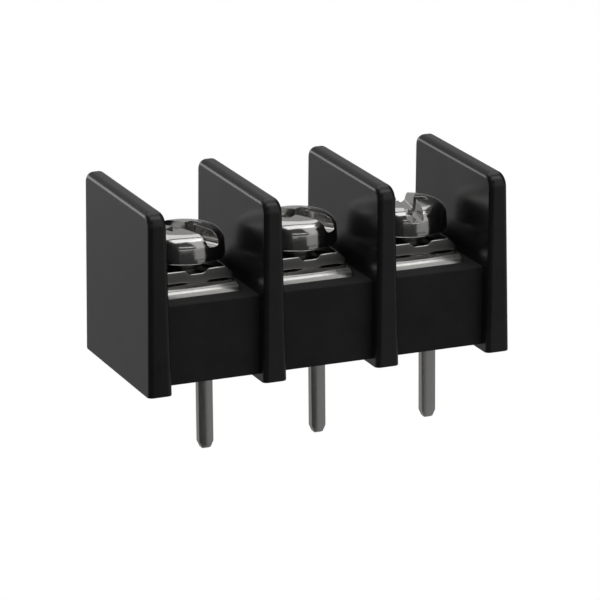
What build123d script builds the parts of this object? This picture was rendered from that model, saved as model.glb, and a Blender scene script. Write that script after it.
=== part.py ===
from build123d import *
from math import cos, radians, sin, tan
import os

# Barrier terminal strip for a printed circuit board, all sizes in millimetres.
# +X runs along the strip, the wire entry faces -Y, +Z is up.
# The origin is the middle of the strip on the board's surface.

# Strip
positions = 3
pitch = 8.25

# Barriers: drafted walls between the positions and at both ends
barrier_depth = 12.7
barrier_height = 12.7
barrier_foot_width = 1.7
barrier_top_width = 1.25
barrier_front_corner_radius = 0.95
barrier_rear_corner_radius = 0.35
barrier_edge_chamfer = 0.2

# Base: the block that joins the barriers
base_setback = 1.0
base_standoff = 0.4
base_top = 6.0
base_edge_radius = 0.15

# Terminals: plate, folded front leaf and solder pin from one strip of metal
plate_width = 5.2
plate_depth = 7.8
plate_thickness = 0.7
plate_recess = 0.2
fold_radius = 0.65
leaf_height = 3.0
pin_width = 1.0
pin_length = 4.9
pin_taper_length = 0.5
pin_tip_width = 0.6
collar_wall = 0.55
collar_height = 1.2

# Screws: pan head, slot and cross recess, captive neck, plain shank
screw_thread_diameter = 3.0
screw_length = 6.0
screw_tip_chamfer = 0.35
neck_diameter = 2.6
neck_length = 1.45
thread_lead = 0.2
head_diameter = 5.7
head_height = 2.1
head_band_height = 0.5
head_side_height = 1.1
head_side_diameter = 5.6
head_crown_radius = 2.1
head_crown_rise = 0.15
shoulder_steps = 6
head_rim_chamfer = 0.1
slot_width = 1.3
slot_depth = 1.05
slot_draft = 8.0
slot_floor_radius = 0.35
cross_span = 3.0
cross_wing = 0.75
cross_floor_span = 1.3
cross_depth = 1.4
slot_angles = [27.0, 37.0, -10.0]

# Clamps: square saddle plates that ride on the screw necks
clamp_width = 5.2
clamp_depth = 5.2
clamp_thickness = 0.62
clamp_rise = 0.28
clamp_end_thickness = 0.45
clamp_valley_half = 0.5
clamp_ridge_inner = 0.78
clamp_ridge_outer = 1.85
clamp_arch_rise = 0.08
clamp_arch_inset = 0.2
clamp_bend_radius = 0.12
clamp_corner_radius = 0.35

# Fits
terminal_clearance = 0.05
collar_clearance = 0.15
thread_clearance = 0.05
neck_clearance = 0.07
clamp_seat_gap = 0.02
screw_play = 0.35
screw_bore_floor = 0.6

# Places that follow from the sizes above
strip_length = positions * pitch
base_depth = barrier_depth - 2 * base_setback
base_height = base_top - base_standoff
plate_bottom = base_top - plate_recess
plate_top = plate_bottom + plate_thickness
plate_front = -plate_depth / 2
leaf_bottom = plate_top - leaf_height
collar_bottom = plate_bottom - collar_height
thread_bore_radius = screw_thread_diameter / 2
shank_radius = thread_bore_radius - thread_clearance
collar_radius = thread_bore_radius + collar_wall
clamp_bottom = plate_top + clamp_seat_gap
clamp_ridge_top = clamp_bottom + clamp_thickness + clamp_rise
head_bottom = clamp_ridge_top + screw_play
head_top = head_bottom + head_height
cell_places = [(i - (positions - 1) / 2) * pitch for i in range(positions)]
barrier_places = [(i - positions / 2) * pitch for i in range(positions + 1)]

os.makedirs("parts", exist_ok=True)


def cell_plane(x, z):
    """Level plane on the axis of the position at x, at height z."""
    return Plane(origin=(x, 0, z))


def front_plane(x, y, z):
    """Upright plane that faces the wire entry, local X along the strip and local Y up."""
    return Plane(origin=(x, y, z), x_dir=(1, 0, 0), z_dir=(0, -1, 0))


# One barrier, drawn as its drafted front view, rounded at the top, its sides' edges broken
with BuildPart() as barrier:
    with BuildSketch(front_plane(0, barrier_depth / 2, 0)):
        with BuildLine():
            Polyline(
                (-barrier_foot_width / 2, 0),
                (barrier_foot_width / 2, 0),
                (barrier_top_width / 2, barrier_height),
                (-barrier_top_width / 2, barrier_height),
                close=True,
            )
        make_face()
    extrude(amount=barrier_depth)
    top_corners = barrier.edges().filter_by(Axis.X).group_by(Axis.Z)[-1].sort_by(Axis.Y)
    fillet(top_corners[0], radius=barrier_front_corner_radius)
    top_corners = barrier.edges().filter_by(Axis.X).group_by(Axis.Z)[-1].sort_by(Axis.Y)
    fillet(top_corners[-1], radius=barrier_rear_corner_radius)
    side_faces = barrier.faces().sort_by(Axis.X)
    for side in (side_faces[0], side_faces[-1]):
        outline = side.edges().sort_by(Axis.Z)[1:]
        chamfer(outline, length=barrier_edge_chamfer)

# Housing: one moulding with the barriers, the base, and a seat for each terminal
with BuildPart() as housing:
    with BuildSketch(Plane.XY.offset(base_standoff)):
        Rectangle(strip_length, base_depth)
    extrude(amount=base_height)
    rim_edges = housing.edges().filter_by(Axis.X).group_by(Axis.Z)[-1]
    fillet(rim_edges, radius=base_edge_radius)
    with Locations([(x, 0, 0) for x in barrier_places]):
        add(barrier.part)
    for x in cell_places:
        leaf_centre = plate_front + plate_thickness / 2
        # Shallow pocket for the plate
        with BuildSketch(cell_plane(x, plate_bottom)):
            Rectangle(plate_width + 2 * terminal_clearance, plate_depth + 2 * terminal_clearance)
        extrude(amount=plate_recess, mode=Mode.SUBTRACT)
        # Slot for the folded leaf, down to its shoulders
        with BuildSketch(cell_plane(x, leaf_bottom)):
            with Locations((0, leaf_centre)):
                Rectangle(plate_width + 2 * terminal_clearance, plate_thickness + 2 * terminal_clearance)
        extrude(amount=base_top - leaf_bottom, mode=Mode.SUBTRACT)
        # Hole for the solder pin, through to the underside
        with BuildSketch(cell_plane(x, leaf_bottom)):
            with Locations((0, leaf_centre)):
                Rectangle(pin_width + 2 * terminal_clearance, plate_thickness + 2 * terminal_clearance)
        extrude(amount=base_standoff - leaf_bottom, mode=Mode.SUBTRACT)
        # Blind bore for the collar and the screw's end
        with BuildSketch(cell_plane(x, plate_bottom)):
            Circle(collar_radius + collar_clearance)
        extrude(amount=base_standoff + screw_bore_floor - plate_bottom, mode=Mode.SUBTRACT)

housing.part.label = "housing"
export_step(housing.part, "parts/housing.step")

# Terminals: plate with a drawn collar, front leaf, and pin with a tapered end
for number, x in enumerate(cell_places, start=1):
    with BuildPart() as terminal:
        with BuildSketch(cell_plane(x, plate_bottom)):
            Rectangle(plate_width, plate_depth)
        extrude(amount=plate_thickness)
        with BuildSketch(cell_plane(x, collar_bottom)):
            Circle(collar_radius)
        extrude(amount=collar_height)
        with BuildSketch(front_plane(x, plate_front + plate_thickness, 0)):
            with BuildLine():
                Polyline(
                    (-plate_width / 2, plate_bottom),
                    (-plate_width / 2, leaf_bottom),
                    (-pin_width / 2, leaf_bottom),
                    (-pin_width / 2, pin_taper_length - pin_length),
                    (-pin_tip_width / 2, -pin_length),
                    (pin_tip_width / 2, -pin_length),
                    (pin_width / 2, pin_taper_length - pin_length),
                    (pin_width / 2, leaf_bottom),
                    (plate_width / 2, leaf_bottom),
                    (plate_width / 2, plate_bottom),
                    close=True,
                )
            make_face()
        extrude(amount=plate_thickness)
        fold = terminal.edges().filter_by(Axis.X).group_by(Axis.Z)[-1].sort_by(Axis.Y)[0]
        fillet(fold, radius=fold_radius)
        with Locations(cell_plane(x, plate_top)):
            Hole(thread_bore_radius)
    terminal.part.label = f"terminal_{number}"
    export_step(terminal.part, f"parts/terminal_{number}.step")

# Clamps: folded saddle profile drawn from the front, cut square, with the neck's hole
for number, x in enumerate(cell_places, start=1):
    with BuildPart() as clamp:
        with BuildSketch(front_plane(x, clamp_depth / 2, clamp_bottom)) as saddle:
            with BuildLine():
                Polyline(
                    (0, clamp_thickness),
                    (clamp_valley_half, clamp_thickness),
                    (clamp_ridge_inner, clamp_thickness + clamp_rise),
                    (clamp_ridge_outer, clamp_thickness + clamp_rise),
                    (clamp_width / 2, clamp_end_thickness),
                    (clamp_width / 2, 0),
                    (clamp_ridge_outer + clamp_arch_inset, 0),
                    (clamp_ridge_outer, clamp_arch_rise),
                    (clamp_ridge_inner + clamp_arch_inset, clamp_arch_rise),
                    (clamp_valley_half + clamp_arch_inset, 0),
                    (0, 0),
                    close=True,
                )
            make_face()
            mirror(about=Plane.YZ)
            bends = saddle.vertices().filter_by(
                lambda corner: abs(corner.X) > clamp_bend_radius and corner.Y > clamp_end_thickness
            )
            fillet(bends, radius=clamp_bend_radius)
        extrude(amount=clamp_depth)
        with BuildSketch(cell_plane(x, clamp_bottom)):
            RectangleRounded(clamp_width, clamp_depth, clamp_corner_radius)
        extrude(amount=clamp_thickness + clamp_rise, mode=Mode.INTERSECT)
        with Locations(cell_plane(x, clamp_ridge_top)):
            Hole(neck_diameter / 2 + neck_clearance)
    clamp.part.label = f"clamp_{number}"
    export_step(clamp.part, f"parts/clamp_{number}.step")

# Screws: turned profile, then the slot and the cross recess in the head
for number, x in enumerate(cell_places, start=1):
    slot_angle = slot_angles[(number - 1) % len(slot_angles)]
    slot_along = (sin(radians(slot_angle)), -cos(radians(slot_angle)), 0)
    slot_across = (cos(radians(slot_angle)), sin(radians(slot_angle)), 0)
    slot_floor_half = slot_width / 2 - slot_depth * tan(radians(slot_draft))
    crown_edge = (head_crown_radius, head_height - head_crown_rise)
    band_top = (head_diameter / 2, head_band_height)
    side_top = (head_side_diameter / 2, head_side_height)
    side_slope = (side_top[0] - band_top[0], side_top[1] - band_top[1])
    with BuildPart() as screw:
        with BuildSketch(front_plane(x, 0, head_bottom)):
            with BuildLine():
                TangentArc((0, head_height), crown_edge, tangent=(1, 0))
                shoulder = TangentArc(side_top, crown_edge, tangent=side_slope, mode=Mode.PRIVATE)
                Polyline(*[shoulder @ (step / shoulder_steps) for step in range(shoulder_steps + 1)])
                Polyline(
                    side_top,
                    band_top,
                    (head_diameter / 2, head_rim_chamfer),
                    (head_diameter / 2 - head_rim_chamfer, 0),
                    (neck_diameter / 2, 0),
                    (neck_diameter / 2, -neck_length),
                    (shank_radius, -neck_length - thread_lead),
                    (shank_radius, screw_tip_chamfer - screw_length),
                    (shank_radius - screw_tip_chamfer, -screw_length),
                    (0, -screw_length),
                    (0, head_height),
                )
            make_face()
        revolve(axis=Axis((x, 0, 0), (0, 0, 1)))
        with BuildSketch(Plane(origin=(x, 0, head_top), x_dir=slot_across, z_dir=slot_along)) as slot:
            with BuildLine():
                Polyline(
                    (-slot_width / 2, 0),
                    (slot_width / 2, 0),
                    (slot_floor_half, -slot_depth),
                    (-slot_floor_half, -slot_depth),
                    close=True,
                )
            make_face()
            fillet(slot.vertices().group_by(Axis.Y)[0], radius=slot_floor_radius)
        extrude(amount=head_diameter, both=True, mode=Mode.SUBTRACT)
        for wing_along, wing_across in ((slot_along, slot_across), (slot_across, slot_along)):
            with BuildSketch(Plane(origin=(x, 0, head_top), x_dir=wing_along, z_dir=wing_across)):
                with BuildLine():
                    Polyline(
                        (-cross_span / 2, 0),
                        (cross_span / 2, 0),
                        (cross_floor_span / 2, -cross_depth),
                        (-cross_floor_span / 2, -cross_depth),
                        close=True,
                    )
                make_face()
            extrude(amount=cross_wing / 2, both=True, mode=Mode.SUBTRACT)
    screw.part.label = f"screw_{number}"
    export_step(screw.part, f"parts/screw_{number}.step")
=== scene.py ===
import math

import bmesh
import bpy
from bpy.props import FloatProperty, FloatVectorProperty, IntProperty, PointerProperty
from mathutils import Matrix, Vector


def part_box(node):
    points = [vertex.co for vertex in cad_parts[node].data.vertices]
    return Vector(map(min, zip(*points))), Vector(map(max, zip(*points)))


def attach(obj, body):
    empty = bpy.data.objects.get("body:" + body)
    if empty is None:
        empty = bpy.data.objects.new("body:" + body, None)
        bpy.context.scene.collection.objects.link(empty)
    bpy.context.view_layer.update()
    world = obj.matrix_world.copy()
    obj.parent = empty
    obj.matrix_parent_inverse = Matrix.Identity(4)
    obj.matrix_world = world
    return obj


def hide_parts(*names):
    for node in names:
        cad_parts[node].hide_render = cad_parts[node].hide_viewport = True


bl_info = {
    "name": "Barrier terminal strip",
    "version": (1, 0, 0),
    "blender": (4, 5, 0),
    "location": "View3D > Sidebar > Terminal strip",
    "description": "Dresses the frame of a barrier terminal strip for a circuit board",
    "category": "Object",
}

MM = 0.001
# Steps round a hole, and the angles in degrees above which an edge stays sharp
HOLE_STEPS = 64
SHARP_ANGLE = 40
SCREW_SHARP_ANGLE = 35
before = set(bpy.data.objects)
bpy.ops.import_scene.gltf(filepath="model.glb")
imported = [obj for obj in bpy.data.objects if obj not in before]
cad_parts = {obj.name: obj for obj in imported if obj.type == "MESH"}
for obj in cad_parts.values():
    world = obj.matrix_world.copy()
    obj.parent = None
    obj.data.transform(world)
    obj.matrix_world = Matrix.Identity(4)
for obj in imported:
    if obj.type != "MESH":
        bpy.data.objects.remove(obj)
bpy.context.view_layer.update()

# Places that the frame gives
housing_low, housing_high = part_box("housing")
clamp_names = sorted(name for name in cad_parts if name.startswith("clamp_"))
cell_numbers = [int(name.split("_")[1]) for name in clamp_names]
cell_places = [(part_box(name)[0].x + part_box(name)[1].x) / 2 for name in clamp_names]
pitch = cell_places[1] - cell_places[0]
wall_places = [cell_places[0] - pitch / 2 + pitch * step for step in range(len(cell_places) + 1)]
terminal_low, terminal_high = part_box(f"terminal_{cell_numbers[0]}")
clamp_low, clamp_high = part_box(clamp_names[0])
screw_low, screw_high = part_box(f"screw_{cell_numbers[0]}")


def srgb(text):
    """Linear colour with alpha 1 from an sRGB hex value such as #808080."""
    values = [int(text[place:place + 2], 16) / 255 for place in (1, 3, 5)]
    linear = [v / 12.92 if v <= 0.04045 else ((v + 0.055) / 1.055) ** 2.4 for v in values]
    return (*linear, 1.0)


def length(name, description, millimetres):
    """A length property with its default in millimetres."""
    return FloatProperty(name=name, description=description, default=millimetres * MM, unit="LENGTH",
                         precision=5)


def degrees(name, description, value):
    """An angle property with its default in degrees."""
    return FloatProperty(name=name, description=description, default=math.radians(value), subtype="ANGLE")


def plain(name, description, value):
    """A property for a number without a unit."""
    return FloatProperty(name=name, description=description, default=value)


def pigment(name, description, text):
    """A colour property with its default as an sRGB hex value."""
    return FloatVectorProperty(name=name, description=description, subtype="COLOR", size=4,
                               default=srgb(text))


class MouldingSizes(bpy.types.PropertyGroup):
    """Sizes of the moulding that the frame's box doesn't give."""

    wall_foot_width: FloatProperty(
        name="Wall foot width", description="Thickness of a barrier wall at the board", unit="LENGTH",
        default=2 * (housing_high.x - wall_places[-1]), precision=5)
    wall_top_width: length("Wall top width", "Thickness of a barrier wall at its top", 1.25)
    front_corner_radius: length(
        "Front corner radius", "Rounding of a wall's top front corner, seen from the side", 0.95)
    rear_corner_radius: length(
        "Rear corner radius", "Rounding of a wall's top rear corner, seen from the side", 0.8)
    edge_radius: length("Edge radius", "Rounding of a wall's upright edges", 0.34)
    top_edge_radius: length("Top edge radius", "Rounding of a wall's top edges", 0.45)
    foot_radius: length("Foot radius", "Rounding of the lower corners of walls and base", 0.12)
    base_setback: length("Base setback", "How far the base's front lies behind the walls' fronts", 1.0)
    base_bottom: length("Base bottom", "Height of the base's underside above the board", 0.4)
    base_top: length("Base top", "Height of the base's top face above the board", 6.0)
    base_edge_radius: length("Base edge radius", "Rounding of the base's upper edges", 0.14)
    seat_clearance: length("Seat clearance", "Gap round each terminal in its seat", 0.05)
    bore_clearance: length("Bore clearance", "Gap round each terminal's collar", 0.15)
    bore_floor: length("Bore floor", "Thickness left under each screw's blind bore", 0.6)


class TerminalSizes(bpy.types.PropertyGroup):
    """Sizes of the stamped terminals."""

    thickness: length("Strip thickness", "Thickness of the metal strip", 0.7)
    fold_radius: length("Fold radius", "Outer radius of the fold at the front", 0.72)
    leaf_height: length("Leaf height", "Height of the folded leaf below the plate's top", 3.0)
    pin_width: length("Pin width", "Width of the solder pin", 1.05)
    pin_taper: length("Pin taper", "Length of the pin's tapered end", 0.5)
    pin_tip_width: length("Pin tip width", "Width of the pin at its tip", 0.6)
    pin_crown: length("Pin crown", "How far the pin's broad faces bulge", 0.05)
    edge_radius: length("Edge radius", "Rounding of the stamped edges", 0.07)
    bore_radius: length("Bore radius", "Radius of the tapped hole", 1.5)
    collar_wall: length("Collar wall", "Wall of the collar that is drawn down for the thread", 0.55)
    collar_height: length("Collar height", "Height of the collar below the plate", 1.2)


class ClampSizes(bpy.types.PropertyGroup):
    """Sizes of the saddle clamps."""

    thickness: length("Thickness", "Height of the saddle's valley above its foot", 0.62)
    rise: length("Ridge rise", "Height of the two ridges above the valley", 0.28)
    end_thickness: length("End thickness", "Height of the saddle's ends", 0.3)
    valley_half: length("Valley half", "Half the width of the valley's flat", 0.5)
    ridge_inner: length("Ridge inner", "Where a ridge's top begins", 0.78)
    ridge_outer: length("Ridge outer", "Where a ridge's top ends", 2.1)
    arch_rise: length("Arch rise", "Height of the hollow under each ridge", 0.08)
    arch_inset: length("Arch inset", "Length of the hollow's sloping ends", 0.2)
    bend: length("Bend", "Length over which each bend is softened", 0.16)
    corner_radius: length("Corner radius", "Rounding of the corners, seen from above", 0.22)
    edge_radius: length("Edge radius", "Rounding of the stamped edges", 0.1)
    end_burr: length("End burr", "How far each pressed end has spread beyond the saddle's plain width", 0.12)
    hole_radius: length("Hole radius", "Radius of the hole round the screw's neck", 1.37)


class ScrewSizes(bpy.types.PropertyGroup):
    """Sizes of the pan-head screws."""

    shank_length: length("Shank length", "Length below the head", 6.0)
    head_height: length("Head height", "Height of the head up to the crown's top", 2.1)
    band_height: length("Band height", "Height of the straight band at the head's foot", 0.5)
    side_height: length("Side height", "Height at which the head's side turns into its shoulder", 1.1)
    side_diameter: length("Side diameter", "Diameter of the head at that height", 5.6)
    crown_radius: length("Crown radius", "Radius of the shallow crown on the head's top", 2.1)
    crown_rise: length("Crown rise", "Height of the crown", 0.15)
    rim_radius: length("Rim radius", "Rounding of the head's lower rim", 0.2)
    neck_radius: length("Neck radius", "Radius of the plain neck that holds the clamp", 1.3)
    neck_length: length("Neck length", "Length of the neck below the head", 1.45)
    neck_taper: length("Neck taper", "Length over which the neck narrows to the thread's root", 0.15)
    thread_radius: length("Thread radius", "Radius over the thread's crests", 1.44)
    root_radius: length("Root radius", "Radius at the thread's root", 1.2)
    thread_pitch: length("Thread pitch", "Rise of the thread in one turn", 0.5)
    ridge_share: plain("Ridge share", "Radius of the thread's ridge as a share of its pitch", 0.52)
    tip_length: length("Tip length", "Length of the plain pointed end", 0.45)
    tip_slope: plain("Tip slope", "How far the tip narrows as a share of its length", 0.6)
    slot_width: length("Slot width", "Width of the slot at the head's top", 1.3)
    slot_depth: length("Slot depth", "Depth of the slot", 1.05)
    slot_floor_radius: length("Slot floor radius", "Rounding between the slot's walls and its floor", 0.35)
    slot_draft: degrees("Slot draft", "Slope of the slot's walls", 4.0)
    cross_span: length("Cross span", "Span of the cross recess at the head's top", 3.0)
    cross_floor_span: length("Cross floor span", "Span of the cross recess at its floor", 1.3)
    cross_wing: length("Cross wing", "Width of the cross recess's wings", 0.75)
    cross_depth: length("Cross depth", "Depth of the cross recess", 1.4)
    slot_angles: FloatVectorProperty(
        name="Slot angles", description="Where each screw's slot stopped, turned from the front towards +X",
        size=3, subtype="EULER", default=(math.radians(27), math.radians(37), math.radians(-10)))
    segments: IntProperty(name="Segments", description="Steps round a screw", default=112, min=24)


class Finishes(bpy.types.PropertyGroup):
    """Colours of the finishes."""

    walls: pigment("Walls", "Colour of the walls' satin plastic", "#262626")
    base: pigment("Base", "Colour of the base's matt plastic", "#353535")
    nickel: pigment("Nickel plate", "Colour of the screws and clamps", "#d2d1cf")
    tin: pigment("Tin plate", "Colour of the terminals", "#c6c5c2")
    floor: pigment("Floor", "Colour of the floor", "#f6f6f6")
    light_card: pigment("Light card", "Colour of the wide card on the table", "#c6c6c6")
    dark_card: pigment("Dark card", "Colour of the card in front", "#4e4e4e")
    grey_card: pigment("Grey card", "Colour of the small card close by on the right", "#bcbcbc")


class StageSettings(bpy.types.PropertyGroup):
    """Camera, floor and lamps."""

    azimuth: degrees("Azimuth", "Camera's turn from the front, towards +X", -22.275)
    elevation: degrees("Elevation", "Camera's angle above the board", 16.902)
    roll: degrees("Roll", "Camera's tilt", -0.499)
    distance: length("Distance", "Camera's distance from the point it looks at", 276.88)
    focal_pixels: plain("Focal length", "Focal length in pixels of a 600-pixel frame", 4031.6)
    target: FloatVectorProperty(
        name="Target", description="Point that the camera looks at", size=3, subtype="TRANSLATION",
        default=(-0.022 * MM, -0.705 * MM, 3.737 * MM))
    floor_drop: length("Floor drop", "How far the floor lies below the pins", 30.0)
    front_strength: plain("Front strength", "Brightness of the front box overhead", 1.25)
    rear_strength: plain("Rear strength", "Brightness of the rear box overhead", 0.9)
    side_strength: plain("Side strength", "Brightness of the tall box on the right", 0.5)
    back_strength: plain("Back strength", "Brightness of the backdrop", 0.27)
    edge_strength: plain("Edge strength", "Brightness of the small lamp low behind", 1.6)
    strip_strength: plain("Strip strength", "Brightness of the low strip in front", 1.2)
    room_strength: plain("Room strength", "Brightness of the room around the stage", 0.06)


GROUPS = {
    "strip_moulding": MouldingSizes,
    "strip_terminal": TerminalSizes,
    "strip_clamp": ClampSizes,
    "strip_screw": ScrewSizes,
    "strip_finish": Finishes,
    "strip_stage": StageSettings,
}


def add_node(tree, kind, inputs=None, **settings):
    """Adds a node, sets its options, and sets or links its inputs."""
    node = tree.nodes.new(kind)
    for name, value in settings.items():
        setattr(node, name, value)
    for name, value in (inputs or {}).items():
        if isinstance(value, bpy.types.NodeSocket):
            tree.links.new(value, node.inputs[name])
        else:
            node.inputs[name].default_value = value
    return node


def noise(tree, place, grain, detail, roughness):
    """Noise whose patches are about one grain, in millimetres, across."""
    return add_node(tree, "ShaderNodeTexNoise", {
        "Vector": place, "Scale": 1 / (grain * MM), "Detail": detail, "Roughness": roughness}).outputs["Fac"]


def remap(tree, value, given, wanted):
    """A value moved from one range to another, each range given as its low and high end."""
    return add_node(tree, "ShaderNodeMapRange", {
        "Value": value, "From Min": given[0], "From Max": given[1], "To Min": wanted[0], "To Max": wanted[1],
    }).outputs["Result"]


def compute(tree, operation, *values):
    """The result of a sum with two or three values."""
    return add_node(tree, "ShaderNodeMath", dict(enumerate(values)), operation=operation).outputs["Value"]


def scaled(tree, colour, factor):
    """A colour made lighter or darker by a factor."""
    return add_node(tree, "ShaderNodeVectorMath", {0: colour[:3], "Scale": factor},
                    operation="SCALE").outputs["Vector"]


def new_material(name):
    """An empty node material and its node tree."""
    material = bpy.data.materials.new(name)
    material.use_nodes = True
    material.node_tree.nodes.clear()
    return material, material.node_tree


def black_plastic(name, colour, low_roughness, high_roughness, sheen):
    """Black glass-filled thermoplastic, left as it comes from the tool."""
    # Fibre near the skin leaves faint cloudy patches, a little lighter and duller than the rest.
    material, tree = new_material(name)
    place = add_node(tree, "ShaderNodeTexCoord").outputs["Object"]
    clouds = noise(tree, place, grain=2.2, detail=4.0, roughness=0.55)
    # Real erosion grain is about 0.05 mm; it is drawn at 0.18 mm so that it shows
    erosion = noise(tree, place, grain=0.18, detail=2.0, roughness=0.6)
    cloudy = (0.3, 0.7)
    tint = scaled(tree, colour, remap(tree, clouds, cloudy, (0.86, 1.14)))
    satin = remap(tree, clouds, cloudy, (low_roughness, high_roughness))
    bump = add_node(tree, "ShaderNodeBump", {"Strength": 0.12, "Distance": 0.02 * MM, "Height": erosion})
    shader = add_node(tree, "ShaderNodeBsdfPrincipled", {
        "Base Color": tint, "Roughness": satin, "Normal": bump.outputs["Normal"], "IOR": 1.5,
        "Specular IOR Level": sheen})
    add_node(tree, "ShaderNodeOutputMaterial", {"Surface": shader.outputs["BSDF"]})
    return material


def moulded_black_plastic(colour):
    """The thermoplastic as moulded against a finely eroded face of the tool, on the walls."""
    # The fine grain gives a satin sheen, in which the screws and the base show as soft shapes.
    return black_plastic(
        "moulded_black_plastic", colour, low_roughness=0.21, high_roughness=0.27, sheen=0.46)


def eroded_black_plastic(colour):
    """The thermoplastic as moulded against a coarsely eroded face of the tool, on the base."""
    # The coarse grain traps light, so the base is nearly matt and looks blacker than the walls.
    return black_plastic(
        "eroded_black_plastic", colour, low_roughness=0.6, high_roughness=0.7, sheen=0.12)


def bright_nickel_plate(colour):
    """Steel with bright nickel plate, as barrel-plated screws and stampings have."""
    # Plating is nearly a mirror. The metal under it waves a little, which breaks up straight reflections,
    # and tumbling in the barrel leaves fine dull specks. Sheared edges and rolled shanks are grey and dull.
    dull_tone = 0.34
    dull_roughness = 0.3
    material, tree = new_material("bright_nickel_plate")
    place = add_node(tree, "ShaderNodeTexCoord").outputs["Object"]
    waves = noise(tree, place, grain=0.9, detail=1.0, roughness=0.4)
    # Real specks are some hundredths of a millimetre; they are drawn at 0.15 mm so that they show
    specks = noise(tree, place, grain=0.15, detail=3.0, roughness=0.65)
    gloss = remap(tree, specks, (0.35, 0.75), (0.1, 0.22))
    dull = add_node(tree, "ShaderNodeAttribute", attribute_name="dull").outputs["Fac"]
    tint = scaled(tree, colour, remap(tree, dull, (0.0, 1.0), (1.0, dull_tone)))
    rough = compute(tree, "MULTIPLY_ADD", dull, dull_roughness, gloss)
    rounded = add_node(tree, "ShaderNodeBevel", {"Radius": 0.05 * MM}, samples=6)
    bump = add_node(tree, "ShaderNodeBump", {
        "Strength": 0.35, "Distance": 0.03 * MM, "Height": waves, "Normal": rounded.outputs["Normal"]})
    shader = add_node(tree, "ShaderNodeBsdfPrincipled", {
        "Base Color": tint, "Metallic": 1.0, "Roughness": rough, "Normal": bump.outputs["Normal"]})
    add_node(tree, "ShaderNodeOutputMaterial", {"Surface": shader.outputs["BSDF"]})
    return material


def bright_tin_plate(colour):
    """Brass strip with bright tin plate, stamped and folded after plating."""
    # Tin is softer in its shine than nickel, and the rolled strip shows as faint streaks along its length.
    material, tree = new_material("bright_tin_plate")
    place = add_node(tree, "ShaderNodeTexCoord").outputs["Object"]
    # Rolling lines are some hundredths of a millimetre apart; they are drawn at 0.3 mm so that they show
    drawn = add_node(tree, "ShaderNodeMapping", {
        "Vector": place, "Scale": (1 / (0.3 * MM), 1 / (4.0 * MM), 1 / (4.0 * MM))})
    streaks = add_node(tree, "ShaderNodeTexNoise", {
        "Vector": drawn.outputs["Vector"], "Scale": 1.0, "Detail": 1.5, "Roughness": 0.5}).outputs["Fac"]
    gloss = remap(tree, streaks, (0.3, 0.7), (0.2, 0.28))
    bump = add_node(tree, "ShaderNodeBump", {"Strength": 0.1, "Distance": 0.01 * MM, "Height": streaks})
    shader = add_node(tree, "ShaderNodeBsdfPrincipled", {
        "Base Color": colour, "Metallic": 1.0, "Roughness": gloss, "Normal": bump.outputs["Normal"]})
    add_node(tree, "ShaderNodeOutputMaterial", {"Surface": shader.outputs["BSDF"]})
    return material


def finish_of(builder, colour):
    """The material that a function builds, made once and then used again."""
    found = bpy.data.materials.get(builder.__name__)
    return found if found else builder(tuple(colour))


def add_solid(mesh, rings):
    """Adds to a mesh a closed solid whose skin runs through rings of equally many points."""
    bm = bmesh.new()
    loops = [[bm.verts.new(point) for point in ring] for ring in rings]
    for first, second in zip(loops, loops[1:]):
        for i in range(len(first)):
            j = (i + 1) % len(first)
            bm.faces.new((first[i], first[j], second[j], second[i]))
    bm.faces.new(reversed(loops[0]))
    bm.faces.new(loops[-1])
    if bm.calc_volume(signed=True) < 0:
        bmesh.ops.reverse_faces(bm, faces=bm.faces)
    bm.from_mesh(mesh)
    bm.to_mesh(mesh)
    bm.free()


def new_piece(name, solids):
    """An object made of closed solids, each given as its rings of points."""
    mesh = bpy.data.meshes.new(name)
    for rings in solids:
        add_solid(mesh, rings)
    piece = bpy.data.objects.new(name, mesh)
    bpy.context.scene.collection.objects.link(piece)
    return piece


def bake(piece):
    """Turns the piece's modifiers into plain mesh."""
    depsgraph = bpy.context.evaluated_depsgraph_get()
    old = piece.data
    mesh = bpy.data.meshes.new_from_object(piece.evaluated_get(depsgraph), preserve_all_data_layers=True,
                                           depsgraph=depsgraph)
    piece.modifiers.clear()
    piece.data = mesh
    mesh.name = piece.name
    bpy.data.meshes.remove(old)


def cut(piece, *cutters):
    """Cuts other objects out of a piece and removes them."""
    for cutter in cutters:
        knife = piece.modifiers.new(cutter.name, "BOOLEAN")
        knife.operation = "DIFFERENCE"
        knife.solver = "EXACT"
        knife.object = cutter
    bake(piece)
    for cutter in cutters:
        mesh = cutter.data
        bpy.data.objects.remove(cutter)
        bpy.data.meshes.remove(mesh)


def join(piece, other):
    """Adds another object's mesh to a piece and removes that object."""
    bm = bmesh.new()
    bm.from_mesh(piece.data)
    bm.from_mesh(other.data)
    bm.to_mesh(piece.data)
    bm.free()
    mesh = other.data
    bpy.data.objects.remove(other)
    bpy.data.meshes.remove(mesh)


def smooth(piece, sharp_angle):
    """Smooth shading that keeps flat faces flat and edges steeper than the angle sharp."""
    piece.data.polygons.foreach_set("use_smooth", [True] * len(piece.data.polygons))
    piece.data.set_sharp_from_angle(angle=math.radians(sharp_angle))
    weighted = piece.modifiers.new("Flat faces", "WEIGHTED_NORMAL")
    weighted.keep_sharp = True
    bake(piece)


def settle(piece, material, body, node):
    """Gives a finished piece its material and its place in the frame."""
    piece.data.materials.clear()
    piece.data.materials.append(material)
    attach(piece, body)
    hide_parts(node)


def grow(piece, tree, values):
    """Runs a node tree on a piece with the named inputs and turns the result into plain mesh."""
    modifier = piece.modifiers.new(tree.name, "NODES")
    modifier.node_group = tree
    for item in tree.interface.items_tree:
        if item.in_out == "INPUT" and item.name in values:
            modifier[item.identifier] = values[item.name]
    bake(piece)


def arc(centre, radius, start, end, steps):
    """Points along an arc, from the start angle to the end angle in degrees."""
    angles = [math.radians(start + (end - start) * step / steps) for step in range(steps + 1)]
    return [(centre[0] + radius * math.cos(a), centre[1] + radius * math.sin(a)) for a in angles]


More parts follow.
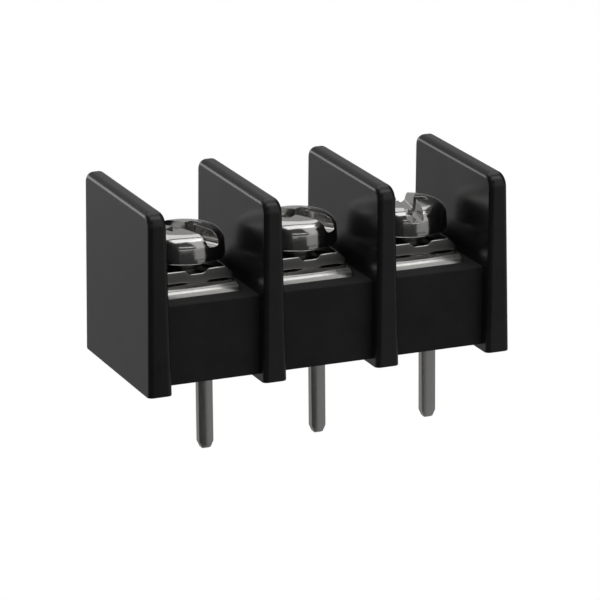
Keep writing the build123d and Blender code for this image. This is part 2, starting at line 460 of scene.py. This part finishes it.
def round_rectangle(left, right, low, high, low_radius, right_radius, left_radius, steps):
    """Outline of a rectangle with one radius for both lower corners and one for each upper corner."""
    return (
        arc((right - low_radius, low + low_radius), low_radius, -90, 0, steps)
        + arc((right - right_radius, high - right_radius), right_radius, 0, 90, steps)
        + arc((left + left_radius, high - left_radius), left_radius, 90, 180, steps)
        + arc((left + low_radius, low + low_radius), low_radius, 180, 270, steps)
    )


def round_rod(x, radius, low, high):
    """Rings of an upright round rod."""
    turn = [2 * math.pi * step / HOLE_STEPS for step in range(HOLE_STEPS)]
    return [[(x + radius * math.cos(a), radius * math.sin(a), z) for a in turn] for z in (low, high)]


def block(left, right, front, rear, low, high):
    """Rings of a plain block."""
    return [[(left, front, z), (right, front, z), (right, rear, z), (left, rear, z)] for z in (low, high)]


def new_tree(name, inputs, output):
    """An empty geometry node tree, and the sockets of its inputs, which are given by name and kind."""
    tree = bpy.data.node_groups.new(name, "GeometryNodeTree")
    for label, kind in inputs.items():
        tree.interface.new_socket(label, in_out="INPUT", socket_type=f"NodeSocket{kind}")
    tree.interface.new_socket(output, in_out="OUTPUT", socket_type="NodeSocketGeometry")
    return tree, add_node(tree, "NodeGroupInput").outputs


def wall_rings(sizes):
    """Rings across one barrier wall at the origin, from its left side to its right."""
    steps = 10
    edge_steps = 8
    outline = round_rectangle(
        housing_low.y, housing_high.y, housing_low.z, housing_high.z,
        sizes.foot_radius, sizes.rear_corner_radius, sizes.front_corner_radius, steps)
    # Which way is out at each point; the foot keeps its height, so out is level there
    outward = ([(1, 0)] * (steps + 1) + arc((0, 0), 1, 0, 90, steps)
               + arc((0, 0), 1, 90, 180, steps) + [(-1, 0)] * (steps + 1))
    rings = []
    for side in (-1, 1):
        for step in range(edge_steps + 1):
            angle = math.radians(90 * (step if side < 0 else edge_steps - step) / edge_steps)
            ring = []
            for (y, z), (out_y, out_z) in zip(outline, outward):
                radius = sizes.edge_radius + (sizes.top_edge_radius - sizes.edge_radius) * out_z ** 2
                inset = radius * (1 - math.sin(angle))
                y -= out_y * inset
                z -= out_z * inset
                slope = (sizes.wall_foot_width - sizes.wall_top_width) * z / housing_high.z
                half = (sizes.wall_foot_width - slope) / 2
                ring.append((side * (half - radius * (1 - math.cos(angle))), y, z))
            rings.append(ring)
    return rings


def wall_row_tree():
    """Node tree that sets copies of one wall in a row."""
    tree, given = new_tree("wall_row", {
        "Wall": "Geometry", "Count": "Int", "First": "Float", "Pitch": "Float", "Material": "Material",
    }, "Row")
    first = add_node(tree, "ShaderNodeCombineXYZ", {"X": given["First"]})
    step = add_node(tree, "ShaderNodeCombineXYZ", {"X": given["Pitch"]})
    line = add_node(tree, "GeometryNodeMeshLine", {
        "Count": given["Count"], "Start Location": first.outputs["Vector"], "Offset": step.outputs["Vector"]})
    copies = add_node(tree, "GeometryNodeInstanceOnPoints", {
        "Points": line.outputs["Mesh"], "Instance": given["Wall"]})
    real = add_node(tree, "GeometryNodeRealizeInstances", {"Geometry": copies.outputs["Instances"]})
    painted = add_node(tree, "GeometryNodeSetMaterial", {
        "Geometry": real.outputs["Geometry"], "Material": given["Material"]})
    add_node(tree, "NodeGroupOutput", {"Row": painted.outputs["Geometry"]})
    return tree


class STRIP_OT_moulding(bpy.types.Operator):
    """Build the moulding: a row of barrier walls and the base with the terminals' seats"""

    bl_idname = "strip.moulding"
    bl_label = "Moulding"

    def execute(self, context):
        sizes = context.scene.strip_moulding
        terminal = context.scene.strip_terminal
        plastic = finish_of(moulded_black_plastic, context.scene.strip_finish.walls)
        walls = new_piece("barrier_walls", [wall_rings(sizes)])
        smooth(walls, SHARP_ANGLE)
        grow(walls, wall_row_tree(), {
            "Count": len(wall_places), "First": wall_places[0], "Pitch": pitch, "Material": plastic})
        settle(walls, plastic, "housing", "housing")

        front = housing_low.y + sizes.base_setback
        rear = housing_high.y - sizes.base_setback
        edge_steps = 5
        outline = round_rectangle(
            front, rear, sizes.base_bottom, sizes.base_top,
            sizes.foot_radius, sizes.base_edge_radius, sizes.base_edge_radius, edge_steps)
        ends = (wall_places[0], wall_places[-1])
        base = new_piece("base_block", [[[(x, y, z) for y, z in outline] for x in ends]])
        gap = sizes.seat_clearance
        plate_bottom = terminal_high.z - terminal.thickness
        plate_rear = terminal_high.y + gap
        leaf_bottom = terminal_high.z - terminal.leaf_height
        leaf_front = terminal_low.y - gap
        leaf_rear = terminal_low.y + terminal.thickness + gap
        half_plate = (terminal_high.x - terminal_low.x) / 2 + gap
        half_pin = terminal.pin_width / 2 + gap
        above = sizes.base_top + MM
        below = sizes.base_bottom - MM
        bore = terminal.bore_radius + terminal.collar_wall + sizes.bore_clearance
        bore_bottom = sizes.base_bottom + sizes.bore_floor
        cut(
            base,
            new_piece("plate_seats", [
                block(x - half_plate, x + half_plate, leaf_front, plate_rear, plate_bottom, above)
                for x in cell_places]),
            new_piece("leaf_slots", [
                block(x - half_plate, x + half_plate, leaf_front, leaf_rear, leaf_bottom, above)
                for x in cell_places]),
            new_piece("pin_holes", [
                block(x - half_pin, x + half_pin, leaf_front, leaf_rear, below, above) for x in cell_places]),
            new_piece("screw_bores", [round_rod(x, bore, bore_bottom, above) for x in cell_places]),
        )
        smooth(base, SHARP_ANGLE)
        matt_plastic = finish_of(eroded_black_plastic, context.scene.strip_finish.base)
        settle(base, matt_plastic, "housing", "housing")
        return {"FINISHED"}


def strip_section(width, thickness, radius, crown):
    """Section across the metal strip, with rounded edges and broad faces that bulge by the crown."""
    steps = 4
    corners = [
        arc((sx * (width / 2 - radius), sy * (thickness / 2 - radius)), radius, start, start + 90, steps)
        for sx, sy, start in ((1, -1, -90), (1, 1, 0), (-1, 1, 90), (-1, -1, 180))
    ]
    bulge = [(side * share * (width / 2 - radius), share) for side, share in ((1, 0.5), (1, 0.0), (-1, 0.5))]
    upper = [(across, thickness / 2 + crown * (1 - share ** 2)) for across, share in bulge]
    lower = [(-across, -height) for across, height in upper]
    return corners[0] + corners[1] + upper + corners[2] + corners[3] + lower


def terminal_rings(x, sizes):
    """Rings along one terminal's strip, from the plate's rear end round the fold to the pin's tip."""
    fold_steps = 12
    width = terminal_high.x - terminal_low.x
    thick = sizes.thickness
    edge = sizes.edge_radius
    middle = terminal_high.z - thick / 2
    leaf = terminal_low.y + thick / 2
    leaf_bottom = terminal_high.z - sizes.leaf_height
    taper_top = terminal_low.z + sizes.pin_taper
    fold = (terminal_low.y + sizes.fold_radius, terminal_high.z - sizes.fold_radius)
    rings = []

    def station(y, z, tilt, across, deep, radius, crown):
        """One ring; the tilt turns the section from lying flat, 0, to upright, 1."""
        up = Vector((0, -math.sin(tilt * math.pi / 2), math.cos(tilt * math.pi / 2)))
        ring = []
        for a, b in strip_section(across, deep, radius, crown):
            ring.append((x + a, y + b * up.y, z + b * up.z))
        rings.append(ring)

    station(terminal_high.y, middle, 0, width - 2 * edge, thick - 2 * edge, edge, 0)
    station(terminal_high.y - edge, middle, 0, width, thick, edge, 0)
    for step in range(fold_steps + 1):
        tilt = step / fold_steps
        y = fold[0] - (sizes.fold_radius - thick / 2) * math.sin(tilt * math.pi / 2)
        z = fold[1] + (sizes.fold_radius - thick / 2) * math.cos(tilt * math.pi / 2)
        station(y, z, tilt, width, thick, edge, 0)
    station(leaf, leaf_bottom + edge, 1, width, thick, edge, 0)
    station(leaf, leaf_bottom, 1, width - 2 * edge, thick, edge, 0)
    deep = thick - 2 * sizes.pin_crown
    station(leaf, leaf_bottom, 1, sizes.pin_width, deep, edge, sizes.pin_crown)
    station(leaf, taper_top, 1, sizes.pin_width, deep, edge, sizes.pin_crown)
    station(leaf, terminal_low.z + edge, 1, sizes.pin_tip_width + edge, deep - edge, edge, 0)
    station(leaf, terminal_low.z, 1, sizes.pin_tip_width - edge, deep - 4 * edge, edge, 0)
    return rings


class STRIP_OT_terminals(bpy.types.Operator):
    """Build the terminals: plate, folded leaf and solder pin from one strip, and the collar"""

    bl_idname = "strip.terminals"
    bl_label = "Terminals"

    def execute(self, context):
        sizes = context.scene.strip_terminal
        tin = finish_of(bright_tin_plate, context.scene.strip_finish.tin)
        plate_bottom = terminal_high.z - sizes.thickness
        collar_bottom = plate_bottom - sizes.collar_height
        for number, x in zip(cell_numbers, cell_places):
            node = f"terminal_{number}"
            hole = round_rod(x, sizes.bore_radius, collar_bottom - MM, terminal_high.z + MM)
            strip = new_piece(f"{node}_strip", [terminal_rings(x, sizes)])
            cut(strip, new_piece("tapped_hole", [hole]))
            collar = new_piece("collar", [
                round_rod(x, sizes.bore_radius + sizes.collar_wall, collar_bottom, plate_bottom)])
            cut(collar, new_piece("tapped_hole", [hole]))
            join(strip, collar)
            smooth(strip, SHARP_ANGLE)
            settle(strip, tin, "housing", node)
        return {"FINISHED"}


def stepped_line(points, place):
    """Height of a line through the points at a place along it."""
    for (x0, z0), (x1, z1) in zip(points, points[1:]):
        if place <= x1:
            return z0 + (z1 - z0) * (place - x0) / (x1 - x0)
    return points[-1][1]


def softened(points, place, reach):
    """Height of the line averaged over a short reach, which rounds its corners."""
    samples = 7
    total = 0.0
    for step in range(samples):
        total += stepped_line(points, abs(place + reach * (step / (samples - 1) - 0.5)))
    return total / samples


def clamp_rings(x, sizes):
    """Rings along one saddle clamp, from its left end to its right."""
    half_width = (clamp_high.x - clamp_low.x) / 2 + sizes.end_burr
    half_depth = (clamp_high.y - clamp_low.y) / 2
    ridge_top = sizes.thickness + sizes.rise
    top = [(0, sizes.thickness), (sizes.valley_half, sizes.thickness),
           (sizes.ridge_inner, ridge_top), (sizes.ridge_outer, ridge_top), (half_width, sizes.end_thickness)]
    under = [(0, 0), (sizes.valley_half + sizes.arch_inset, 0),
             (sizes.ridge_inner + sizes.arch_inset, sizes.arch_rise), (sizes.ridge_outer, sizes.arch_rise),
             (sizes.ridge_outer + sizes.arch_inset, 0), (half_width, 0)]
    edge_steps = 4
    least_radius = 0.01 * MM
    stations = 96
    rings = []
    for step in range(stations + 1):
        across = -half_width * math.cos(math.pi * step / stations)
        place = abs(across)
        past = max(0.0, place - (half_width - sizes.corner_radius))
        depth = half_depth - sizes.corner_radius + math.sqrt(max(0.0, sizes.corner_radius ** 2 - past ** 2))
        worn = max(0.0, place - (half_width - sizes.edge_radius))
        trim = sizes.edge_radius - math.sqrt(max(0.0, sizes.edge_radius ** 2 - worn ** 2))
        low = clamp_low.z + softened(under, place, sizes.bend) + trim
        high = clamp_low.z + softened(top, place, sizes.bend) - trim
        radius = max(least_radius, min(sizes.edge_radius, (high - low) / 2 - least_radius))
        outline = round_rectangle(-depth, depth, low, high, radius / 2, radius, radius, edge_steps)
        rings.append([(x + across, y, z) for y, z in outline])
    return rings


def mark_dull(piece, is_dull):
    """Marks the faces of a metal piece that a test picks out as grey and dull."""
    mark = piece.data.attributes.new("dull", "FLOAT", "FACE")
    mark.data.foreach_set("value", [float(is_dull(face)) for face in piece.data.polygons])


class STRIP_OT_clamps(bpy.types.Operator):
    """Build the saddle clamps that hold the wires down"""

    bl_idname = "strip.clamps"
    bl_label = "Clamps"

    def execute(self, context):
        sizes = context.scene.strip_clamp
        nickel = finish_of(bright_nickel_plate, context.scene.strip_finish.nickel)
        upright_limit = 0.4
        for number, x in zip(cell_numbers, cell_places):
            saddle = new_piece(f"clamp_{number}_saddle", [clamp_rings(x, sizes)])
            cut(saddle, new_piece("neck_hole", [
                round_rod(x, sizes.hole_radius, clamp_low.z - MM, clamp_high.z + MM)]))
            smooth(saddle, SHARP_ANGLE)
            # Sheared faces, which stand upright, and the pressed ends are dull
            mark_dull(saddle, lambda face: (
                abs(face.normal.z) < upright_limit or abs(face.center.x - x) > sizes.ridge_outer))
            settle(saddle, nickel, f"clamp_{number}", f"clamp_{number}")
        return {"FINISHED"}


def screw_profile(sizes):
    """Half outline of a screw as radius and height, from the top of its crown to the end of its tip."""
    crown_steps = 8
    shoulder_steps = 12
    rim_steps = 5
    least_radius = 0.02 * MM
    foot = screw_low.z + sizes.shank_length
    top = foot + sizes.head_height
    head_radius = (screw_high.x - screw_low.x) / 2
    sphere = (sizes.crown_radius ** 2 + sizes.crown_rise ** 2) / (2 * sizes.crown_rise)
    crown = []
    for step in range(crown_steps + 1):
        radius = max(least_radius, sizes.crown_radius * step / crown_steps)
        crown.append((radius, top - sphere + math.sqrt(sphere ** 2 - radius ** 2)))
    side = Vector((sizes.side_diameter / 2, foot + sizes.side_height))
    band = Vector((head_radius, foot + sizes.band_height))
    inward = Vector((-(side - band).y, (side - band).x)).normalized()
    chord = Vector(crown[-1]) - side
    shoulder = chord.length_squared / (2 * inward.dot(chord))
    centre = side + inward * shoulder
    start = math.degrees(math.atan2(*reversed(Vector(crown[-1]) - centre)))
    end = math.degrees(math.atan2(*reversed(side - centre)))
    rim_centre = (head_radius - sizes.rim_radius, foot + sizes.rim_radius)
    rim = arc(rim_centre, sizes.rim_radius, 0, -90, rim_steps)
    neck_end = foot - sizes.neck_length
    tip_top = screw_low.z + sizes.tip_length
    return (
        crown[:-1]
        + arc(centre, shoulder, start, end, shoulder_steps)
        + [tuple(band)]
        + rim
        + [(sizes.neck_radius, foot), (sizes.neck_radius, neck_end),
           (sizes.root_radius, neck_end - sizes.neck_taper), (sizes.root_radius, tip_top),
           (sizes.root_radius - sizes.tip_slope * sizes.tip_length, screw_low.z)]
    )


def slot_axes(angle):
    """Unit vectors along and across a slot that is turned from the front towards +X."""
    along = Vector((math.sin(angle), -math.cos(angle), 0))
    across = Vector((math.cos(angle), math.sin(angle), 0))
    return along, across


def slot_rings(x, angle, sizes):
    """Rings along the cutter for a screw's slot."""
    along, across = slot_axes(angle)
    floor_steps = 6
    reach = screw_high.x - screw_low.x
    draft = math.degrees(sizes.slot_draft)
    spread = math.tan(sizes.slot_draft)
    top = screw_low.z + sizes.shank_length + sizes.head_height
    floor = top - sizes.slot_depth
    half = sizes.slot_width / 2 + MM * spread
    floor_half = sizes.slot_width / 2 - sizes.slot_depth * spread
    radius = sizes.slot_floor_radius
    outline = [(half, top + MM), (-half, top + MM)]
    outline += arc((-floor_half + radius, floor + radius), radius, 180 + draft, 270, floor_steps)
    outline += arc((floor_half - radius, floor + radius), radius, -90, -draft, floor_steps)
    rings = []
    for end in (-reach, reach):
        start = Vector((x, 0, 0)) + along * end
        rings.append([start + across * a + Vector((0, 0, z)) for a, z in outline])
    return rings


def wing_rings(x, angle, sizes):
    """Rings across the cutter for one pair of wings of the cross recess."""
    along, across = slot_axes(angle)
    top = screw_low.z + sizes.shank_length + sizes.head_height
    floor = top - sizes.cross_depth
    spread = (sizes.cross_span - sizes.cross_floor_span) / 2 / sizes.cross_depth
    top_half = sizes.cross_span / 2 + MM * spread
    floor_half = sizes.cross_floor_span / 2
    outline = [(-top_half, top + MM), (-floor_half, floor), (floor_half, floor), (top_half, top + MM)]
    half = sizes.cross_wing / 2
    rings = []
    for side in (-half, half):
        start = Vector((x, 0, 0)) + across * side
        rings.append([start + along * a + Vector((0, 0, z)) for a, z in outline])
    return rings


def thread_tree():
    """Node tree that winds a thread onto a screw's core."""
    tree, given = new_tree("screw_thread", {
        "Screw": "Geometry", "Axis": "Float", "Bottom": "Float", "Length": "Float", "Pitch": "Float",
        "Crest": "Float", "Ridge": "Float", "Material": "Material",
    }, "Threaded")
    turns = compute(tree, "DIVIDE", given["Length"], given["Pitch"])
    radius = compute(tree, "SUBTRACT", given["Crest"], given["Ridge"])
    helix = add_node(tree, "GeometryNodeCurveSpiral", {
        "Resolution": 40, "Rotations": turns, "Start Radius": radius, "End Radius": radius,
        "Height": given["Length"], "Reverse": True})
    upright = add_node(tree, "GeometryNodeSetCurveNormal", {"Curve": helix.outputs["Curve"]}, mode="Z_UP")
    # The thread runs out to a fifth of its size over its first and last half turn
    along = add_node(tree, "GeometryNodeSplineParameter").outputs["Factor"]
    nearest = compute(tree, "MINIMUM", along, compute(tree, "SUBTRACT", 1.0, along))
    run_out = remap(tree, compute(tree, "MULTIPLY", nearest, turns), (0.0, 0.5), (0.2, 1.0))
    profile = add_node(tree, "GeometryNodeCurvePrimitiveCircle", {"Resolution": 3, "Radius": given["Ridge"]})
    ridge = add_node(tree, "GeometryNodeCurveToMesh", {
        "Curve": upright.outputs["Curve"], "Profile Curve": profile.outputs["Curve"],
        "Scale": run_out, "Fill Caps": True})
    start = add_node(tree, "ShaderNodeCombineXYZ", {"X": given["Axis"], "Z": given["Bottom"]})
    placed = add_node(tree, "GeometryNodeTransform", {
        "Geometry": ridge.outputs["Mesh"], "Translation": start.outputs["Vector"]})
    joined = add_node(tree, "GeometryNodeJoinGeometry")
    tree.links.new(given["Screw"], joined.inputs["Geometry"])
    tree.links.new(placed.outputs["Geometry"], joined.inputs["Geometry"])
    real = add_node(tree, "GeometryNodeRealizeInstances", {"Geometry": joined.outputs["Geometry"]})
    painted = add_node(tree, "GeometryNodeSetMaterial", {
        "Geometry": real.outputs["Geometry"], "Material": given["Material"]})
    add_node(tree, "NodeGroupOutput", {"Threaded": painted.outputs["Geometry"]})
    return tree


class STRIP_OT_screws(bpy.types.Operator):
    """Build the screws: turned heads with slot and cross recess, necks, and threads"""

    bl_idname = "strip.screws"
    bl_label = "Screws"

    def execute(self, context):
        sizes = context.scene.strip_screw
        nickel = finish_of(bright_nickel_plate, context.scene.strip_finish.nickel)
        tree = thread_tree()
        profile = screw_profile(sizes)
        foot = screw_low.z + sizes.shank_length
        thread_top = foot - sizes.neck_length - sizes.neck_taper
        thread_bottom = screw_low.z + sizes.tip_length
        turn = [2 * math.pi * step / sizes.segments for step in range(sizes.segments)]
        for place, (number, x) in enumerate(zip(cell_numbers, cell_places)):
            angle = sizes.slot_angles[place % len(sizes.slot_angles)]
            rings = [[(x + r * math.cos(a), r * math.sin(a), z) for a in turn] for r, z in profile]
            screw = new_piece(f"screw_{number}_turned", [rings])
            cut(
                screw,
                new_piece("slot", [slot_rings(x, angle, sizes)]),
                new_piece("wings_along", [wing_rings(x, angle, sizes)]),
                new_piece("wings_across", [wing_rings(x, angle + math.pi / 2, sizes)]),
            )
            grow(screw, tree, {
                "Axis": x, "Bottom": thread_bottom, "Length": thread_top - thread_bottom,
                "Pitch": sizes.thread_pitch, "Crest": sizes.thread_radius,
                "Ridge": sizes.ridge_share * sizes.thread_pitch, "Material": nickel})
            smooth(screw, SCREW_SHARP_ANGLE)
            mark_dull(screw, lambda face: face.center.z < foot)
            settle(screw, nickel, f"screw_{number}", f"screw_{number}")
        return {"FINISHED"}


def white_sweep_paper(colour):
    """White paper sweep that the strip stands over."""
    # Seen straight on or in a reflection it is lifted most of the way to plain white,
    # and keeps a faint shadow.
    lift_share = 0.85
    glow_strength = 1.08
    material, tree = new_material("white_sweep_paper")
    path = add_node(tree, "ShaderNodeLightPath").outputs
    seen = compute(tree, "MAXIMUM", path["Is Camera Ray"], path["Is Glossy Ray"])
    seen = compute(tree, "MAXIMUM", seen, path["Is Transmission Ray"])
    lift = compute(tree, "MULTIPLY", seen, lift_share)
    paper = add_node(tree, "ShaderNodeBsdfDiffuse", {"Color": colour})
    glow = add_node(tree, "ShaderNodeEmission", {"Color": (1.0, 1.0, 1.0, 1.0), "Strength": glow_strength})
    mix = add_node(tree, "ShaderNodeMixShader", {
        "Fac": lift, 1: paper.outputs["BSDF"], 2: glow.outputs["Emission"]})
    add_node(tree, "ShaderNodeOutputMaterial", {"Surface": mix.outputs["Shader"]})
    return material


def matt_card(name, colour):
    """Matt card that lies on the table and sets how light or dark a reflection is."""
    material, tree = new_material(name)
    face = add_node(tree, "ShaderNodeBsdfDiffuse", {"Color": colour})
    add_node(tree, "ShaderNodeOutputMaterial", {"Surface": face.outputs["BSDF"]})
    return material


def direction(azimuth, elevation):
    """Unit vector towards a point at an azimuth from the front, towards +X, and an elevation, in degrees."""
    a = math.radians(azimuth)
    e = math.radians(elevation)
    return Vector((math.sin(a) * math.cos(e), -math.cos(a) * math.cos(e), math.sin(e)))


def facing(location, target):
    """Matrix that puts an object at a location with its -Z side towards a target."""
    turn = (Vector(target) - Vector(location)).to_track_quat("-Z", "Y")
    return Matrix.LocRotScale(Vector(location), turn, None)


def soft_box(name, brightness, place, distance, size):
    """An even lamp that faces the terminals' plates from a place given as azimuth and elevation in degrees.

    Its brightness is that of its face, and its size is its width and height.
    """
    width, height = size
    middle = Vector((0, 0, terminal_high.z))
    lamp = bpy.data.lights.new(name, "AREA")
    lamp.shape = "RECTANGLE"
    lamp.size = width
    lamp.size_y = height
    lamp.energy = brightness * math.pi * width * height
    box = bpy.data.objects.new(name, lamp)
    box.matrix_world = facing(middle + direction(*place) * distance, middle)
    bpy.context.scene.collection.objects.link(box)


def table_card(name, corners, level, material):
    """A flat card on the table, its corners given as azimuth and distance."""
    points = [direction(azimuth, 0) * distance + Vector((0, 0, level)) for azimuth, distance in corners]
    mesh = bpy.data.meshes.new(name)
    mesh.from_pydata(points, [], [range(len(points))])
    mesh.materials.append(material)
    card = bpy.data.objects.new(name, mesh)
    bpy.context.scene.collection.objects.link(card)
    return card


def square(reach):
    """Corners of a square card whose corners lie at a distance from the middle."""
    return [(azimuth, reach) for azimuth in (-45, 45, 135, 225)]


def add_camera(stage):
    """The camera at the photograph's view of the strip."""
    sensor = 36.0
    frame_pixels = 600
    target = Vector(stage.target)
    back = direction(math.degrees(stage.azimuth), math.degrees(stage.elevation))
    right = Vector((math.cos(stage.azimuth), math.sin(stage.azimuth), 0))
    up = back.cross(right)
    tilted_right = right * math.cos(stage.roll) + up * math.sin(stage.roll)
    tilted_up = up * math.cos(stage.roll) - right * math.sin(stage.roll)
    lens = bpy.data.cameras.new("photo_view")
    lens.sensor_width = sensor
    lens.lens = sensor * stage.focal_pixels / frame_pixels
    lens.clip_start = 0.01
    lens.clip_end = 20.0
    camera = bpy.data.objects.new("photo_view", lens)
    camera.matrix_world = Matrix.Translation(target + back * stage.distance) @ Matrix(
        (tilted_right, tilted_up, back)).transposed().to_4x4()
    bpy.context.scene.collection.objects.link(camera)
    bpy.context.scene.camera = camera


def add_table(stage, finish):
    """The floor, and the cards on it."""
    table = terminal_low.z - stage.floor_drop
    table_card("floor", square(6.0), table, finish_of(white_sweep_paper, finish.floor))
    # Only reflections and light meet the cards: dark in front, grey close by on the right, light elsewhere
    dark_corners = [(-105, 0.6), (-60, 0.9), (8, 0.75), (8, 0.16), (36, 0.16), (36, 0.05), (-30, 0.05),
                    (-105, 0.05)]
    grey_corners = [(14, 0.14), (75, 0.14), (75, 0.05), (14, 0.05)]
    cards = {
        "light_card": (square(1.2), finish.light_card),
        "dark_card": (dark_corners, finish.dark_card),
        "grey_card": (grey_corners, finish.grey_card),
    }
    for layer, (name, (corners, colour)) in enumerate(cards.items(), start=1):
        card = table_card(name, corners, table + layer * MM, matt_card(name, colour))
        card.visible_camera = False
        card.visible_shadow = False


def add_lamps(stage):
    """The soft boxes round the strip."""
    # Two wide soft boxes overhead with a bar between them, and a pale backdrop
    soft_box("front_box", stage.front_strength, place=(0, 74.5), distance=0.7, size=(0.9, 0.36))
    soft_box("rear_box", stage.rear_strength, place=(180, 61.5), distance=0.7, size=(0.9, 0.55))
    soft_box("backdrop", stage.back_strength, place=(180, 19), distance=0.8, size=(1.2, 0.55))
    # A tall soft box on the right, and a low strip of light on the camera's side
    soft_box("side_box", stage.side_strength, place=(32, 34), distance=0.6, size=(0.42, 0.76))
    soft_box("low_strip", stage.strip_strength, place=(-14, 17), distance=0.6, size=(0.48, 0.04))
    # A small lamp low behind draws the walls' upper edges
    soft_box("edge_lamp", stage.edge_strength, place=(206, 0), distance=0.3, size=(0.15, 0.08))


def add_room(stage):
    """The even, dim light of the room."""
    world = bpy.data.worlds.new("room")
    world.use_nodes = True
    world.node_tree.nodes.clear()
    room = add_node(world.node_tree, "ShaderNodeBackground", {
        "Color": (1.0, 1.0, 1.0, 1.0), "Strength": stage.room_strength})
    add_node(world.node_tree, "ShaderNodeOutputWorld", {"Surface": room.outputs["Background"]})
    bpy.context.scene.world = world


class STRIP_OT_stage(bpy.types.Operator):
    """Set up the camera, the floor, the lamps and the room"""

    bl_idname = "strip.stage"
    bl_label = "Stage"

    def execute(self, context):
        stage = context.scene.strip_stage
        add_camera(stage)
        add_table(stage, context.scene.strip_finish)
        add_lamps(stage)
        add_room(stage)
        context.scene.view_settings.view_transform = "Standard"
        return {"FINISHED"}


class STRIP_PT_panel(bpy.types.Panel):
    """Sidebar panel with the pieces and their sizes"""

    bl_idname = "STRIP_PT_panel"
    bl_label = "Terminal strip"
    bl_space_type = "VIEW_3D"
    bl_region_type = "UI"
    bl_category = "Terminal strip"

    def draw(self, context):
        for operator in OPERATORS:
            self.layout.operator(operator.bl_idname)
        for name, group in GROUPS.items():
            box = self.layout.box()
            box.label(text=group.__doc__)
            for key in group.__annotations__:
                box.prop(getattr(context.scene, name), key)


OPERATORS = (STRIP_OT_moulding, STRIP_OT_terminals, STRIP_OT_clamps, STRIP_OT_screws, STRIP_OT_stage)


def register():
    for group in GROUPS.values():
        bpy.utils.register_class(group)
    for name, group in GROUPS.items():
        setattr(bpy.types.Scene, name, PointerProperty(type=group))
    for operator in OPERATORS:
        bpy.utils.register_class(operator)
    bpy.utils.register_class(STRIP_PT_panel)


def unregister():
    bpy.utils.unregister_class(STRIP_PT_panel)
    for operator in reversed(OPERATORS):
        bpy.utils.unregister_class(operator)
    for name in GROUPS:
        delattr(bpy.types.Scene, name)
    for group in reversed(list(GROUPS.values())):
        bpy.utils.unregister_class(group)


def main():
    register()
    bpy.ops.strip.moulding()
    bpy.ops.strip.terminals()
    bpy.ops.strip.clamps()
    bpy.ops.strip.screws()
    bpy.ops.strip.stage()


if __name__ == "__main__":
    main()
